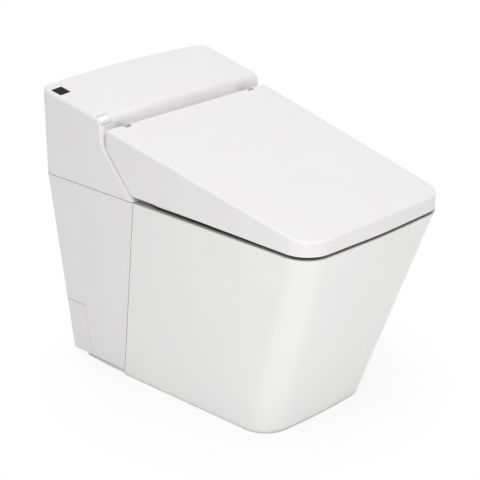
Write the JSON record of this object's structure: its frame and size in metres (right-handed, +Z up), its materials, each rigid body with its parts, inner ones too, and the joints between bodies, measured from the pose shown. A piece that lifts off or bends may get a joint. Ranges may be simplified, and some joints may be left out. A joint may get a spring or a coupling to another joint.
{
  "type": "smart toilet",
  "caption": "One-piece smart toilet: leaning skirted bowl, flat wedge lid over a heated seat, and a raised rear casing that holds the spray nozzle, dryer and works.",
  "frame": {"origin": "middle of the bounding box's footprint, on the floor", "axes": "+Z up, the front of the bowl faces -Y, the wall is at +Y"},
  "size_m": [0.4188, 0.66, 0.5684],
  "materials": {
    "china": "gloss",
    "white_cover": "gloss",
    "seat_white": "satin",
    "grey_moulding": "matt",
    "black_window": "gloss",
    "plated": "satin",
    "steel": "brushed",
    "casting": "cast",
    "rubber": "matt",
    "dark_plastic": "matt",
    "foil": "foil",
    "board": "satin",
    "tank_plastic": "satin",
    "brass": "satin"
  },
  "bodies": {
    "root": {"ceramic_bowl": "china", "side_cover_left": "white_cover", "side_cover_right": "white_cover", "pipe_panel_left": "white_cover", "pipe_panel_right": "white_cover", "upper_casing": "white_cover", "receiver_window": "black_window", "button_guide": "grey_moulding", "button_switch": "dark_plastic", "chassis": "grey_moulding", "chassis_bolts": "steel", "hinge_bracket_left": "casting", "hinge_bracket_right": "casting", "hinge_pins": "steel", "nozzle_guide": "grey_moulding", "nozzle_motor": "casting", "dryer_duct": "grey_moulding", "intake_duct": "grey_moulding", "flap_lugs": "grey_moulding", "fan_housing": "grey_moulding", "fan_motor": "casting", "filter_cassette": "dark_plastic", "water_heater": "casting", "inlet_valve": "brass", "supply_pipe": "tank_plastic", "flush_tank": "tank_plastic", "flush_pump": "dark_plastic", "tank_pipe": "tank_plastic", "jet_pipe": "tank_plastic", "support_frame": "steel", "control_board": "board", "power_supply": "casting", "cord_gland": "dark_plastic", "receiver_board": "board"},
    "seat": {"seat_top": "seat_white", "seat_base": "seat_white", "seat_heater": "foil", "seat_buffers": "rubber", "soft_close_dampers": "dark_plastic"},
    "lid": {"lid": "white_cover", "lid_buffers": "rubber"},
    "flush_button": {"flush_button": "plated"},
    "nozzle": {"nozzle_wand": "steel", "nozzle_tip": "seat_white"},
    "pinion": {"nozzle_pinion": "dark_plastic"},
    "fan": {"fan_wheel": "dark_plastic"},
    "flap": {"dryer_flap": "seat_white"}
  },
  "joints": [
    {"name": "seat_hinge", "type": "hinge", "parent": "root", "child": "seat", "pos_m": [0, 0.143, 0.5], "axis": [-1, 0, 0], "range_deg": [0, 95]},
    {"name": "lid_hinge", "type": "hinge", "parent": "seat", "child": "lid", "pos_m": [0, 0.143, 0.5], "axis": [1, 0, 0], "range_deg": [-105, 0]},
    {"name": "button_press", "type": "slide", "parent": "root", "child": "flush_button", "axis": [0, 0.7071, -0.7071], "range_m": [0, 0.003], "stiffness_N_per_m": 600},
    {"name": "nozzle_slide", "type": "slide", "parent": "root", "child": "nozzle", "axis": [0, -0.8829, -0.4695], "range_m": [0, 0.11]},
    {"name": "pinion_spin", "type": "hinge", "parent": "root", "child": "pinion", "pos_m": [0, 0.12874, 0.41753], "axis": [1, 0, 0], "range_deg": [-880, 0]},
    {"name": "fan_spin", "type": "hinge", "parent": "root", "child": "fan", "pos_m": [0.083, 0.25, 0.43], "axis": [0, 0, 1], "continuous": true},
    {"name": "flap_hinge", "type": "hinge", "parent": "root", "child": "flap", "pos_m": [0.05, 0.0729, 0.3899], "axis": [-1, 0, 0], "range_deg": [0, 60], "stiffness_Nm_per_rad": 0.01}
  ],
  "couplings": [
    {"joint": "pinion_spin", "follows": "nozzle_slide", "rad_per_m": -138.89}
  ]
}
